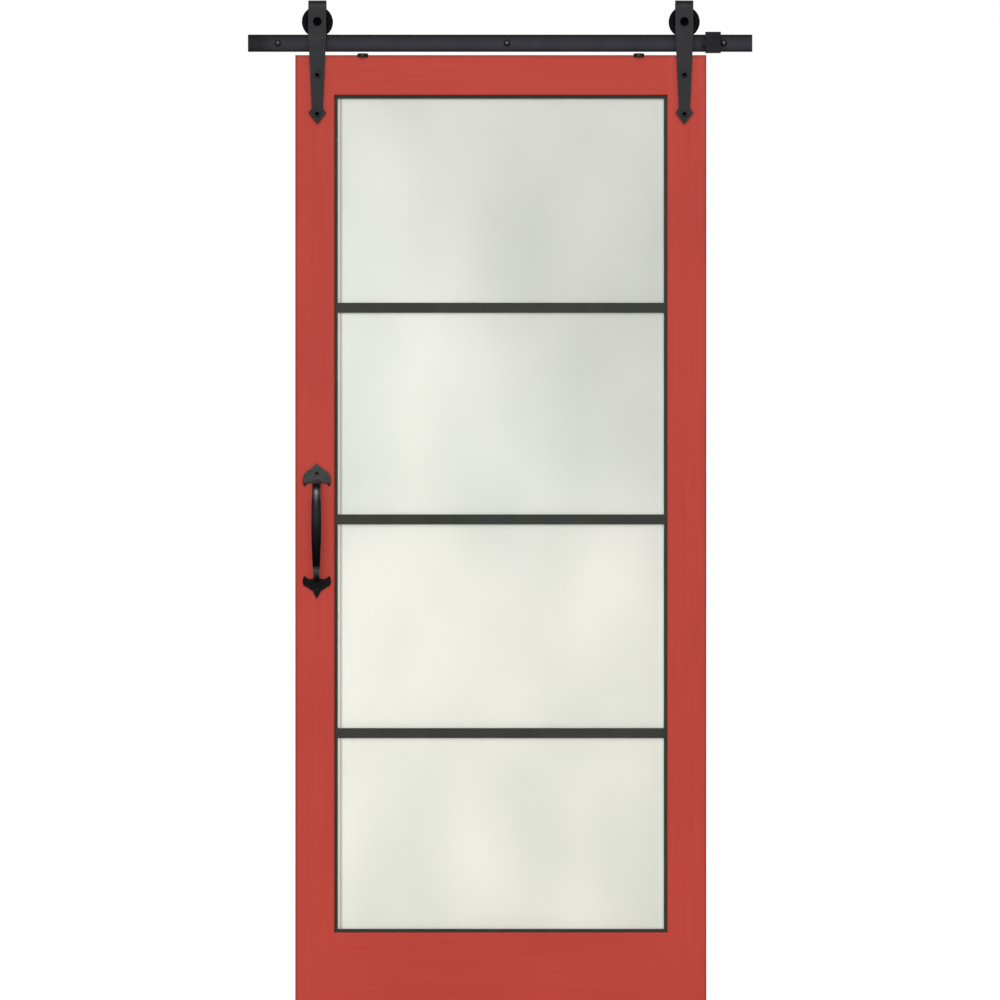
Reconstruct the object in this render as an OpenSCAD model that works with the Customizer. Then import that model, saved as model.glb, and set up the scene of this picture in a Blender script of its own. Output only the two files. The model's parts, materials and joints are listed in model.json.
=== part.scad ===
// Sliding door on a flat wall track: a painted stile-and-rail leaf with four frosted lites,
// hung from two strap hangers whose grooved wheels roll along the track.
// X runs along the track, Y towards the wall, Z up. The origin is midway between the track's
// outer lag screws, at the track's mid height and at the wall.
// Lengths are in millimetres.

/* [Leaf] */
// Width of the leaf
door_w = 914; // [800:1:1100]
// Height of the leaf
door_h = 2134; // [2000:1:2400]
// Thickness of the leaf
door_t = 35; // [32:0.5:40]
// Width of each stile
stile_w = 87; // [80:0.5:120]
// Height of the top rail
top_rail_h = 89; // [76:0.5:140]
// Height of the bottom rail
bottom_rail_h = 183; // [120:1:260]
// Radius of the leaf's eased edges
edge_r = 3; // [1:0.25:4]

/* [Glazing] */
// Width of the sash that shows round the lites
sash_sight = 7; // [5:0.5:15]
// Depth of the sash and the glazing bars, front to back
sash_d = 16; // [14:0.5:20]
// Height of a glazing bar
bar_h = 22; // [20:0.5:36]
// Height of the top lite
first_lite_h = 454.5; // [380:0.5:480]
// Height of the second lite
second_lite_h = 449; // [380:0.5:480]
// Height of the third lite; the fourth takes what is left
third_lite_h = 453.5; // [380:0.5:480]
// Thickness of the glass
glass_t = 5; // [4:0.5:6]
// How far the glass reaches into the sash
glass_bite = 6.5; // [5:0.5:6.5]

/* [Track] */
// How far the track runs past the leaf at each side
rail_past = 104; // [98:1:600]
// Height of the track
rail_h = 38; // [34:0.5:44]
// Thickness of the track
rail_t = 6; // [5:0.5:7]
// Track's centre from the middle between its outer lag screws
rail_shift = -1.5; // [-10:0.5:10]
// Outer lag screws from the track's ends, before that shift
end_bolt_in = 65; // [50:1:66]
// Middle lag screw from the middle between the outer ones
mid_bolt_shift = 13.5; // [-60:0.5:60]
// Length of the spacers between the wall and the track
spacer_len = 32; // [28:0.5:45]
// Diameter of the spacers
spacer_dia = 22; // [18:0.5:24]
// Diameter of the lag screws
lag_dia = 8; // [6:0.5:9]
// Length of the lag screws inside the wall
lag_in = 45; // [30:1:70]

/* [Hangers] */
// Gap between the track and the leaf's top edge
door_gap = 8; // [6.5:0.5:12]
// Hanger centre from the leaf's edge
hanger_in = 49; // [46:0.5:54]
// Width of the strap at the wheel
strap_w = 40; // [34:0.5:44]
// Thickness of the strap
strap_t = 6; // [5:0.5:8]
// Length of the strap below the leaf's top edge
strap_drop = 154; // [130:0.5:220]
// Width of the strap's neck above the arrowhead
neck_w = 24.5; // [20:0.5:30]
// Width of the arrowhead across its barbs
barb_w = 39; // [32:0.5:44]
// Length of the arrowhead from the barbs to the point
barb_len = 25.5; // [20:0.5:34]
// Diameter of the strap bolts
bolt_dia = 8; // [6:0.5:10]

/* [Wheels] */
// Diameter of the wheels over their flanges
wheel_dia = 69; // [62:0.5:80]
// Height of the flanges over the tread
flange_h = 6.5; // [3.5:0.5:7.5]
// Width of the wheels
wheel_w = 18; // [15:0.5:20]

/* [Pull handle] */
// Handle centre from the leaf's left edge
handle_in = 48; // [40:0.5:56]
// Handle centre above the leaf's lower edge
handle_up = 1076; // [800:1:1250]
// Length of the handle over its points
handle_len = 297; // [260:1:380]
// Width of the handle's end plates
plate_w = 63; // [54:0.5:70]
// Thickness of the end plates
plate_t = 4.5; // [4:0.5:7]
// How far the grip stands out from the leaf, to its middle line
grip_bow = 42; // [36:0.5:60]
// Width of the grip at its fullest
grip_w = 22; // [18:0.5:26]

/* [Stop] */
// Width of the stop along the track
stop_w = 34; // [26:0.5:38]
// How far the stop stands out in front of the track
stop_front_t = 13; // [11:0.5:18]

/* [Floor guide] */
// Gap under the leaf
floor_gap = 10; // [8:0.5:16]
// Length of the guide's cheeks along the leaf
guide_len = 50; // [30:1:90]
// Thickness of the guide's plate
guide_t = 3; // [2:0.5:4]

/* [Hidden] */
$fn = 72;

// Overrun of a cut past the face that it opens through
cut = 1;
// Play on each side of a piece in a groove or a bore
fit = 0.15;
// Play at the bottom of a groove
end_fit = 0.5;
// Play of a turned seat
seat = 0.05;
// Gap kept between the wheel's tread and the track
tread_gap = 0.3;

// Sash groove round the leaf's opening
groove_depth = 10;
groove_w = sash_d + 2 * fit;
sash_bury = groove_depth - end_fit;
// Rubber behind the glass edge and at each face of the glass
gasket_t = 1.2;
gasket_side = 2;
gasket_w = glass_t + 2 * gasket_side;
channel_w = gasket_w + 2 * fit;
channel_d = glass_bite + gasket_t + fit;
// Screws through the sash sides into the ends of the bars
sash_screw_r = 1.75;
sash_head_r = 3.3;
sash_head_h = 1.9;
sash_screw_len = 34;

// Lag screws: hexagon heads, plain shanks, threaded ends with a point
lag_r = lag_dia / 2;
lag_thread_cut = 0.2;
lag_thread_r = lag_r - lag_thread_cut;
lag_head_af = 13;
lag_head_h = 5.3;
lag_head_dome = 1.2;
lag_point_len = 8;
lag_point_r = 1;

// Wheel: play beside it, groove, web and hub
wheel_side_gap = 1;
groove_play = 1;
groove_flare = 0.8;
flange_edge = 1.6;
hub_w = 14;
web_w = 9;
hub_wall = 5;
rim_wall = 3.5;
// Sealed ball bearing in the wheel
bearing_r = 15;
bearing_w = 9;
race_r = 10;
bearing_lip = 1.5;
bearing_lip_w = 1.5;

// Axle through both plies of the strap
axle_r = 5;
axle_head_r = 9.5;
axle_head_h = 4.5;
axle_head_edge = 1.2;
axle_socket_af = 8;
axle_socket_d = 3;
axle_nut_af = 17;
axle_nut_h = 8;
axle_past_nut = 1.5;
sleeve_r = 8;

// Strap: straight part, shoulders of the arrowhead, bolts
taper_under_axle = 27;
shoulder_len = 10.5;
hook_drop = 2.5;
upper_bolt_drop = 44.3;
lower_bolt_up = 23;
bolt_r = bolt_dia / 2;
// Bolt heads and sockets as shares of the bolt's diameter and of the head's height
head_r_share = 0.9;
head_h_share = 0.45;
socket_share = 0.9;
socket_d_share = 0.75;
bolt_head_r = bolt_dia * head_r_share;
bolt_head_h = bolt_dia * head_h_share;
bolt_head_edge = 0.8;
bolt_socket_af = bolt_dia * socket_share;
bolt_socket_d = bolt_head_h * socket_d_share;
bolt_short = 9;
// Sleeve nuts of the strap bolts at the leaf's back
nut_barrel_wall = 1.5;
nut_barrel_r = bolt_r + nut_barrel_wall;
nut_barrel_short = 3;
nut_flange_r = 9;
nut_flange_t = 2;
nut_flange_edge = 0.6;
nut_socket_af = 5;

// Anti-jump discs in round pockets of the leaf's top edge, which open through its face
disc_in = 150;
disc_r = 12.5;
disc_top_r = 11.5;
disc_gap = 4.5;
disc_sink = 4.5;
disc_behind = 4;
disc_screw_r = 2.25;
disc_screw_len = 32;

// Countersunk head of the handle's and the discs' screws
csk_head_r = 4.4;
csk_head_h = 2.6;
slot_w = 1.2;
slot_d = 1.1;

// Handle's end plates: wings, notches and length as shares of the plates' width, from the point
wing_r_share = 0.325;
wing_drop_share = 0.587;
notch_r_share = 0.222;
notch_x_share = 0.23;
notch_drop_share = 0.881;
plate_len_share = 0.7;
grip_root_share = 0.61;
wing_r = plate_w * wing_r_share;
wing_x = plate_w / 2 - wing_r;
wing_drop = plate_w * wing_drop_share;
notch_r = plate_w * notch_r_share;
notch_x = plate_w * notch_x_share;
notch_drop = plate_w * notch_drop_share;
plate_len = plate_w * plate_len_share;
grip_root_drop = plate_w * grip_root_share;
plate_screw_drop = 21;
handle_screw_r = 2.25;
handle_screw_len = 30;
// Half outlines of the broad upper point and of the slim lower point, as shares of the plates'
// half width and of the wings' distance from the point
top_point_shares = [[0, 0], [0.41, 0.285], [0.81, 0.5], [0.96, 0.73], [0.99, 1]];
foot_point_shares = [[0, 0], [0.1, 0.13], [0.24, 0.32], [0.3, 0.48], [0.3, 1]];
// Hollow flanks of the lower point, as shares of the plates' width
flank_x_share = 0.859;
flank_up_share = 0.484;
flank_r_share = 1;
flank_x = plate_w * flank_x_share;
flank_up = plate_w * flank_up_share;
flank_r = plate_w * flank_r_share;
// Grip: widths as shares of its fullest width, thickness as a share of the width
grip_top_share = 0.8;
grip_foot_share = 0.56;
grip_thick_share = 0.55;
grip_square_share = 0.6;
grip_root_up = 1.5;
grip_rings = 30;
grip_sides = 20;

// Stop: walls round the track, back lips, screws, bumper
stop_top_t = 5.2;
stop_foot_t = 2.8;
stop_lip_t = 3.5;
stop_lip_h = 5.5;
stop_clear = 0.5;
stop_screw_r = 2.5;
stop_screw_pitch = 16;
stop_screw_sink = 0.4;
stop_socket_af = 2.5;
stop_socket_d = 2.5;
bumper_out = 7;
bumper_h = 18;
bumper_w = 9;
bumper_stem_r = 2.5;
bumper_stem_len = 9;

// Floor guide: play beside the leaf, cheeks, ears and screw holes
guide_play = 0.8;
guide_bite = 13;
guide_corner_r = 6;
guide_ear = 22;
guide_ear_w = 28;
guide_hole_r = 2.4;
guide_csk_r = 4.6;
guide_csk_h = 2;

// Places along the track and up the leaf
rail_len = door_w + 2 * rail_past;
end_bolt_x = rail_len / 2 - end_bolt_in;
bolt_xs = [-end_bolt_x, mid_bolt_shift, end_bolt_x];
rail_left = rail_shift - rail_len / 2;
rail_right = rail_shift + rail_len / 2;
hanger_x = door_w / 2 - hanger_in;
disc_x = door_w / 2 - disc_in;
handle_x = handle_in - door_w / 2;
rail_top = rail_h / 2;
rail_foot = -rail_h / 2;
door_top = rail_foot - door_gap;
door_foot = door_top - door_h;
disc_top = rail_foot - disc_gap;
disc_foot = door_top - disc_sink;
handle_z = door_foot + handle_up;
floor_z = door_foot - floor_gap;

// Places front to back
rail_back = -spacer_len;
rail_face = rail_back - rail_t;
wheel_y = rail_back - rail_t / 2;
hook_gap = wheel_w + 2 * wheel_side_gap;
door_face = wheel_y - hook_gap / 2;
door_mid = door_face + door_t / 2;
door_back = door_face + door_t;
strap_face = door_face - strap_t;
rear_ply = wheel_y + hook_gap / 2;
rear_face = rear_ply + strap_t;
disc_y = door_face + disc_behind;

// Wheel and strap heights
flange_r = wheel_dia / 2;
tread_r = flange_r - flange_h;
axle_z = rail_top + tread_r + tread_gap;
hook_z = axle_z + flange_r - hook_drop;
taper_z = axle_z - taper_under_axle;
tip_z = door_top - strap_drop;
barb_z = tip_z + barb_len;
neck_z = barb_z + shoulder_len;
bolt_zs = [door_top - upper_bolt_drop, tip_z + lower_bolt_up];

// Opening of the leaf and the lites in it
open_x = door_w / 2 - stile_w;
open_top = door_top - top_rail_h;
open_foot = door_foot + bottom_rail_h;
sight_x = open_x - sash_sight;
sight_top = open_top - sash_sight;
sight_foot = open_foot + sash_sight;
lite_hs = [first_lite_h, second_lite_h, third_lite_h];
function lites_above(i) = i < 0 ? 0 : lites_above(i - 1) + lite_hs[i];
function bar_z(i) = sight_top - lites_above(i) - i * bar_h - bar_h / 2;
function lite_top(i) = i == 0 ? sight_top : bar_z(i - 1) - bar_h / 2;
function lite_foot(i) = i == 3 ? sight_foot : bar_z(i) + bar_h / 2;
sash_top_z = (sight_top + channel_d + open_top + sash_bury) / 2;
sash_foot_z = (sight_foot - channel_d + open_foot - sash_bury) / 2;
sash_screw_zs = [sash_top_z, bar_z(0), bar_z(1), bar_z(2), sash_foot_z];

// Stop beside the right lag screw, clear of its spacer
stop_right = end_bolt_x - lag_head_af / 2 - stop_clear;
stop_left = stop_right - stop_w;
stop_x = (stop_left + stop_right) / 2;
stop_face = rail_face - stop_front_t;
stop_lip_drop = min(stop_lip_h, rail_top - spacer_dia / 2 - stop_clear);
bumper_y = rail_face - stop_front_t / 2;

// Colours
red_paint = "#BB4940";
black_steel = "#38383B";
black_sash = "#41423C";
black_iron = "#2A2A2C";
frosted = "#E6E7DE";
black_rubber = "#1E1E1F";
black_nylon = "#232325";
bright_steel = "#A5A7AA";

// Box between two corners
module box(low, high) {
    translate(low) cube(high - low);
}

// Round bar along Y between two places, at x and z
module rod(x, z, y0, y1, r) {
    translate([x, y0, z]) rotate([-90, 0, 0]) cylinder(h = y1 - y0, r = r);
}

// Cone along Y between two places, at x and z
module cone(x, z, y0, y1, r0, r1) {
    translate([x, y0, z]) rotate([-90, 0, 0]) cylinder(h = y1 - y0, r1 = r0, r2 = r1);
}

// Hexagon bar along Y with two flats upright, by its width across flats
module hexagon(x, z, y0, y1, af) {
    translate([x, y0, z]) rotate([-90, 0, 0]) rotate([0, 0, 30])
        cylinder(h = y1 - y0, r = af / 2 / cos(30), $fn = 6);
}

// Flat outline in X and Z, made solid between two places along Y
module upright(y0, y1) {
    translate([0, y1, 0]) rotate([90, 0, 0]) linear_extrude(y1 - y0) children();
}

// Outline in Y and Z, made solid between two places along X
module lengthwise(x0, x1) {
    translate([x0, 0, 0]) rotate([90, 0, 90]) linear_extrude(x1 - x0) children();
}

// Flat bar of the track with its three holes
module rail() {
    color(black_steel) difference() {
        box([rail_left, rail_face, rail_foot], [rail_right, rail_back, rail_top]);
        for (x = bolt_xs) rod(x, 0, rail_face - cut, rail_back + cut, lag_r + fit);
    }
}

// Three spacers that hold the track off the wall
module spacers() {
    color(black_steel) for (x = bolt_xs) difference() {
        rod(x, 0, rail_back, 0, spacer_dia / 2);
        rod(x, 0, rail_back - cut, cut, lag_r + fit);
    }
}

// Three lag screws with domed hexagon heads
module lag_screws() {
    head_face = rail_face - lag_head_h;
    head_r = lag_head_af / 2;
    color(black_steel) for (x = bolt_xs) union() {
        intersection() {
            hexagon(x, 0, head_face, rail_face, lag_head_af);
            union() {
                cone(x, 0, head_face, head_face + lag_head_dome, head_r - lag_head_dome, lag_head_af);
                rod(x, 0, head_face + lag_head_dome, rail_face, lag_head_af);
            }
        }
        rod(x, 0, rail_face - lag_head_h / 2, 0, lag_r);
        rod(x, 0, 0, lag_in - lag_point_len, lag_thread_r);
        cone(x, 0, lag_in - lag_point_len, lag_in, lag_thread_r, lag_point_r);
    }
}

// Clamp that hooks over the track's top and foot, with lips behind it
module stop_block() {
    color(black_steel) difference() {
        lengthwise(stop_left, stop_right) difference() {
            translate([stop_face, rail_foot - stop_foot_t])
                square([rail_back + stop_lip_t - stop_face, rail_h + stop_foot_t + stop_top_t]);
            translate([rail_face - fit, rail_foot - fit])
                square([rail_t + 2 * fit, rail_h + 2 * fit]);
            translate([rail_back, rail_foot + stop_lip_drop])
                square([stop_lip_t + cut, rail_h - 2 * stop_lip_drop]);
        }
        for (side = [-1, 1]) translate([stop_x + side * stop_screw_pitch / 2, wheel_y, rail_top - cut])
            cylinder(h = stop_top_t + 2 * cut, r = stop_screw_r + seat);
        translate([stop_left - cut, bumper_y, 0]) rotate([0, 90, 0])
            cylinder(h = bumper_stem_len + end_fit + cut, r = bumper_stem_r + seat);
    }
}

// Rubber pad on the stop's inner side, held by its stem
module stop_bumper() {
    round_r = bumper_w / 2;
    round_z = bumper_h / 2 - round_r;
    color(black_rubber) {
        lengthwise(stop_left - bumper_out, stop_left) {
            for (side = [-1, 1]) translate([bumper_y, side * round_z]) circle(round_r);
            translate([bumper_y - round_r, -round_z]) square([bumper_w, 2 * round_z]);
        }
        translate([stop_left - fit, bumper_y, 0]) rotate([0, 90, 0])
            cylinder(h = bumper_stem_len + fit, r = bumper_stem_r);
    }
}

// Two socket set screws that press on the track's top edge
module stop_screws() {
    screw_top = rail_top + stop_top_t - stop_screw_sink;
    color(bright_steel) for (side = [-1, 1])
        translate([stop_x + side * stop_screw_pitch / 2, wheel_y, 0]) difference() {
            translate([0, 0, rail_top]) cylinder(h = screw_top - rail_top, r = stop_screw_r);
            translate([0, 0, screw_top - stop_socket_d])
                cylinder(h = stop_socket_d + cut, r = stop_socket_af / 2 / cos(30), $fn = 6);
        }
}

// Corner between a square edge and its round, at the origin; the solid lies along +X and +Y
module ease_corner(r) {
    difference() {
        translate([-cut, -cut]) square(r + cut);
        translate([r, r]) circle(r);
    }
}

// Outline turned over in X or Y where the sign is negative
module turned_over(x_sign, y_sign) {
    mirror([x_sign < 0 ? 1 : 0, 0]) mirror([0, y_sign < 0 ? 1 : 0]) children();
}

// Floor guide bent from plate: two cheeks beside the leaf's foot, and an ear with a screw hole at each end
module floor_guide() {
    half_len = guide_len / 2;
    ear_end = half_len + guide_ear;
    slot_half = door_t / 2 + guide_play;
    half_w = slot_half + guide_t;
    cheek_top = door_foot + guide_bite;
    color(black_steel) difference() {
        union() {
            box([-ear_end, door_mid - guide_ear_w / 2, floor_z],
                [ear_end, door_mid + guide_ear_w / 2, floor_z + guide_t]);
            lengthwise(-half_len, half_len) difference() {
                translate([door_mid - half_w, floor_z]) square([2 * half_w, cheek_top - floor_z]);
                translate([door_mid - slot_half, floor_z + guide_t])
                    square([2 * slot_half, cheek_top - floor_z]);
            }
        }
        for (side = [-1, 1]) {
            upright(door_mid - half_w - cut, door_mid + half_w + cut)
                translate([side * half_len, cheek_top]) turned_over(-side, -1) ease_corner(guide_corner_r);
            lengthwise(-half_len - cut, half_len + cut)
                translate([door_mid + side * half_w, floor_z]) turned_over(-side, 1) ease_corner(guide_t);
            for (edge = [-1, 1])
                translate([side * ear_end, door_mid + edge * guide_ear_w / 2, floor_z - cut])
                    linear_extrude(guide_t + 2 * cut) turned_over(-side, -edge) ease_corner(guide_corner_r);
            translate([side * (half_len + guide_ear / 2), door_mid, floor_z]) {
                translate([0, 0, -cut]) cylinder(h = guide_t + 2 * cut, r = guide_hole_r);
                translate([0, 0, guide_t - guide_csk_h])
                    cylinder(h = guide_csk_h, r1 = guide_hole_r, r2 = guide_csk_r);
            }
        }
    }
}

// What is taken off an upright edge at x, front and back, between two heights; dir points into the wood
module ease_upright(x, dir, z0, z1) {
    for (face = [[door_face, 1], [door_back, -1]]) translate([x, face[0], z0])
        linear_extrude(z1 - z0) turned_over(dir, face[1]) ease_corner(edge_r);
}

// What is taken off a level edge at z, front and back, between two places along X
module ease_level(z, dir, x0, x1) {
    for (face = [[door_face, 1], [door_back, -1]]) lengthwise(x0, x1)
        translate([face[0], z]) turned_over(face[1], dir) ease_corner(edge_r);
}

// Right stile with its sash groove and the holes of the strap bolts
module stile() {
    difference() {
        box([open_x, door_face, door_foot], [door_w / 2, door_back, door_top]);
        ease_upright(door_w / 2, -1, door_foot - cut, door_top + cut);
        ease_upright(open_x, 1, open_foot, open_top);
        for (end = [[door_top, -1], [door_foot, 1]])
            ease_level(end[0], end[1], open_x - cut, door_w / 2 + cut);
        box([open_x - cut, door_mid - groove_w / 2, door_foot - cut],
            [open_x + groove_depth, door_mid + groove_w / 2, door_top + cut]);
        for (z = bolt_zs) rod(hanger_x, z, door_face - cut, door_back + cut, nut_barrel_r + fit);
    }
}

// Left stile, with the holes of the handle's screws
module stile_left() {
    color(red_paint) difference() {
        mirror([1, 0, 0]) stile();
        for (side = [-1, 1])
            rod(handle_x, handle_z + side * (handle_len / 2 - plate_screw_drop), door_face - cut,
                door_face - plate_t + handle_screw_len + end_fit, handle_screw_r + seat);
    }
}

// Right stile
module stile_right() {
    color(red_paint) stile();
}

// Cross rail between two heights with a stub tenon at each end; the groove is on its inner edge
module cross_rail(z0, z1, tenon_z0, tenon_z1, groove_z0, groove_z1) {
    tenon_x = open_x + groove_depth - end_fit;
    difference() {
        union() {
            difference() {
                box([-open_x, door_face, z0], [open_x, door_back, z1]);
                ease_level(z0, 1, -open_x - cut, open_x + cut);
                ease_level(z1, -1, -open_x - cut, open_x + cut);
            }
            box([-tenon_x, door_mid - sash_d / 2, tenon_z0], [tenon_x, door_mid + sash_d / 2, tenon_z1]);
        }
        box([-tenon_x - cut, door_mid - groove_w / 2, groove_z0],
            [tenon_x + cut, door_mid + groove_w / 2, groove_z1]);
    }
}

// Top rail, with the pockets of the discs and the holes of their screws
module top_rail() {
    color(red_paint) difference() {
        cross_rail(open_top, door_top, open_top + groove_depth, door_top,
            open_top - cut, open_top + groove_depth);
        for (side = [-1, 1]) translate([side * disc_x, disc_y, 0]) {
            translate([0, 0, disc_foot]) cylinder(h = disc_sink + cut, r = disc_r + fit);
            translate([0, 0, disc_top - disc_screw_len - end_fit])
                cylinder(h = disc_screw_len + end_fit, r = disc_screw_r + seat);
        }
    }
}

// Bottom rail
module bottom_rail() {
    color(red_paint) cross_rail(door_foot, open_foot, door_foot, open_foot - groove_depth,
        open_foot - groove_depth, open_foot + cut);
}

// Countersunk sash screws of the right side, or the holes for them
module sash_screw_row(r_play, head_past) {
    head_x = open_x + sash_bury;
    for (z = sash_screw_zs) translate([head_x, door_mid, z]) rotate([0, -90, 0]) {
        cylinder(h = sash_screw_len, r = sash_screw_r + r_play);
        cylinder(h = sash_head_h, r1 = sash_head_r + r_play, r2 = sash_screw_r + r_play);
        translate([0, 0, -head_past]) cylinder(h = head_past, r = sash_head_r + r_play);
    }
}

// Right side of the sash: a channel for the glass edges
module sash_side() {
    difference() {
        box([sight_x, door_mid - sash_d / 2, open_foot - sash_bury],
            [open_x + sash_bury, door_mid + sash_d / 2, open_top + sash_bury]);
        box([sight_x - cut, door_mid - channel_w / 2, open_foot - sash_bury - cut],
            [sight_x + channel_d, door_mid + channel_w / 2, open_top + sash_bury + cut]);
        sash_screw_row(fit, cut);
    }
}

module sash_left() {
    color(black_sash) mirror([1, 0, 0]) sash_side();
}

module sash_right() {
    color(black_sash) sash_side();
}

// Cross member of the sash between two heights; its web reaches into the side channels
module sash_member(z0, z1, web_z0, web_z1) {
    tongue_x = sight_x + channel_d - fit;
    tongue_y = channel_w / 2 - fit;
    difference() {
        union() {
            box([-sight_x, door_mid - sash_d / 2, z0], [sight_x, door_mid + sash_d / 2, z1]);
            box([-tongue_x, door_mid - tongue_y, web_z0], [tongue_x, door_mid + tongue_y, web_z1]);
        }
        if (web_z0 > z0) box([-sight_x - cut, door_mid - channel_w / 2, z0 - cut],
            [sight_x + cut, door_mid + channel_w / 2, web_z0]);
        if (web_z1 < z1) box([-sight_x - cut, door_mid - channel_w / 2, web_z1],
            [sight_x + cut, door_mid + channel_w / 2, z1 + cut]);
        for (side = [0, 1]) mirror([side, 0, 0]) sash_screw_row(seat, 0);
    }
}

module sash_top() {
    color(black_sash) sash_member(sight_top, open_top + sash_bury,
        sight_top + channel_d, open_top + sash_bury);
}

module sash_bottom() {
    color(black_sash) sash_member(open_foot - sash_bury, sight_foot,
        open_foot - sash_bury, sight_foot - channel_d);
}

// Glazing bar with a channel above and below its web
module bar(i) {
    half_web = bar_h / 2 - channel_d;
    color(black_sash) sash_member(bar_z(i) - bar_h / 2, bar_z(i) + bar_h / 2,
        bar_z(i) - half_web, bar_z(i) + half_web);
}

// Countersunk screws at both sides of the sash
module sash_screws() {
    color(bright_steel) for (side = [0, 1]) mirror([side, 0, 0]) sash_screw_row(0, 0);
}

// Frosted pane, counted from the top
module pane(i) {
    color(frosted) box([-sight_x - glass_bite, door_mid - glass_t / 2, lite_foot(i) - glass_bite],
        [sight_x + glass_bite, door_mid + glass_t / 2, lite_top(i) + glass_bite]);
}

// Rubber channel round the edge of a pane
module gasket(i) {
    reach = glass_bite + gasket_t;
    half_w = gasket_w / 2;
    color(black_rubber) difference() {
        box([-sight_x - reach, door_mid - half_w, lite_foot(i) - reach],
            [sight_x + reach, door_mid + half_w, lite_top(i) + reach]);
        box([-sight_x - glass_bite, door_mid - glass_t / 2, lite_foot(i) - glass_bite],
            [sight_x + glass_bite, door_mid + glass_t / 2, lite_top(i) + glass_bite]);
        box([-sight_x, door_mid - half_w - cut, lite_foot(i)],
            [sight_x, door_mid + half_w + cut, lite_top(i)]);
    }
}

// Strap hanger in one piece: arrow-ended front ply, bend over the wheel, short rear ply
module hanger(x) {
    bend_r = hook_gap / 2;
    half_w = strap_w / 2;
    color(black_steel) translate([x, 0, 0]) difference() {
        union() {
            upright(strap_face, door_face) polygon([
                [-half_w, hook_z], [-half_w, taper_z], [-neck_w / 2, neck_z], [-barb_w / 2, barb_z],
                [0, tip_z], [barb_w / 2, barb_z], [neck_w / 2, neck_z], [half_w, taper_z],
                [half_w, hook_z]
            ]);
            lengthwise(-half_w, half_w) translate([wheel_y, hook_z]) difference() {
                circle(bend_r + strap_t);
                circle(bend_r);
                translate([-bend_r - strap_t - cut, -bend_r - strap_t - cut])
                    square([2 * (bend_r + strap_t + cut), bend_r + strap_t + cut]);
            }
            upright(rear_ply, rear_face) {
                translate([0, axle_z]) circle(half_w);
                translate([-half_w, axle_z]) square([strap_w, hook_z - axle_z]);
            }
        }
        rod(0, axle_z, strap_face - cut, rear_face + cut, axle_r + fit);
        for (z = bolt_zs) rod(0, z, strap_face - cut, door_face + cut, bolt_r + fit);
    }
}

// Two axle bolts with low round socket heads
module axle_bolts() {
    head_face = strap_face - axle_head_h;
    color(black_iron) for (side = [-1, 1]) difference() {
        union() {
            cone(side * hanger_x, axle_z, head_face, head_face + axle_head_edge,
                axle_head_r - axle_head_edge, axle_head_r);
            rod(side * hanger_x, axle_z, head_face + axle_head_edge, strap_face, axle_head_r);
            rod(side * hanger_x, axle_z, strap_face, rear_face + axle_nut_h + axle_past_nut, axle_r);
        }
        hexagon(side * hanger_x, axle_z, head_face - cut, head_face + axle_socket_d, axle_socket_af);
    }
}

// Two axle nuts behind the rear plies
module axle_nuts() {
    color(black_iron) for (side = [-1, 1]) difference() {
        hexagon(side * hanger_x, axle_z, rear_face, rear_face + axle_nut_h, axle_nut_af);
        rod(side * hanger_x, axle_z, rear_face - cut, rear_face + axle_nut_h + cut, axle_r + seat);
    }
}

// Four sleeves that centre the bearings between the plies
module axle_sleeves() {
    color(bright_steel) for (side = [-1, 1]) for (span = [[door_face, wheel_y - bearing_w / 2],
        [wheel_y + bearing_w / 2, rear_ply]]) difference() {
            rod(side * hanger_x, axle_z, span[0], span[1], sleeve_r);
            rod(side * hanger_x, axle_z, span[0] - cut, span[1] + cut, axle_r + seat);
        }
}

// Two inner bearing rings on the axles
module bearing_inners() {
    y0 = wheel_y - bearing_w / 2;
    y1 = wheel_y + bearing_w / 2;
    color(bright_steel) for (side = [-1, 1]) difference() {
        rod(side * hanger_x, axle_z, y0, y1, race_r - seat);
        rod(side * hanger_x, axle_z, y0 - cut, y1 + cut, axle_r + seat);
    }
}

// Outer bearing ring in a wheel
module bearing_outer(x) {
    y0 = wheel_y - bearing_w / 2;
    y1 = wheel_y + bearing_w / 2;
    color(bright_steel) difference() {
        rod(x, axle_z, y0, y1, bearing_r);
        rod(x, axle_z, y0 - cut, y1 + cut, race_r);
    }
}

// Grooved wheel: bearing seat between two lips, hub, web, rim, flanges and tread
module wheel(x) {
    seat_r = bearing_r + seat;
    lip_r = bearing_r - bearing_lip;
    hub_r = bearing_r + hub_wall;
    rim_r = tread_r - rim_wall;
    tread_half = rail_t / 2 + groove_play;
    half = [
        [seat_r, bearing_w / 2], [lip_r, bearing_w / 2], [lip_r, bearing_w / 2 + bearing_lip_w],
        [hub_r - bearing_lip, hub_w / 2], [hub_r, hub_w / 2], [hub_r, web_w / 2], [rim_r, web_w / 2],
        [rim_r, wheel_w / 2], [flange_r - flange_edge, wheel_w / 2],
        [flange_r, wheel_w / 2 - flange_edge], [flange_r, tread_half + groove_flare],
        [tread_r, tread_half]
    ];
    last = len(half) - 1;
    color(black_nylon) translate([x, wheel_y, axle_z]) rotate([-90, 0, 0]) rotate_extrude()
        polygon(concat(half, [for (i = [last : -1 : 0]) [half[i][0], -half[i][1]]]));
}

// Four strap bolts with low round socket heads
module strap_bolts() {
    head_face = strap_face - bolt_head_h;
    color(black_iron) for (side = [-1, 1]) for (z = bolt_zs) difference() {
        union() {
            cone(side * hanger_x, z, head_face, head_face + bolt_head_edge,
                bolt_head_r - bolt_head_edge, bolt_head_r);
            rod(side * hanger_x, z, head_face + bolt_head_edge, strap_face, bolt_head_r);
            rod(side * hanger_x, z, strap_face, door_back - bolt_short, bolt_r);
        }
        hexagon(side * hanger_x, z, head_face - cut, head_face + bolt_socket_d, bolt_socket_af);
    }
}

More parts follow.
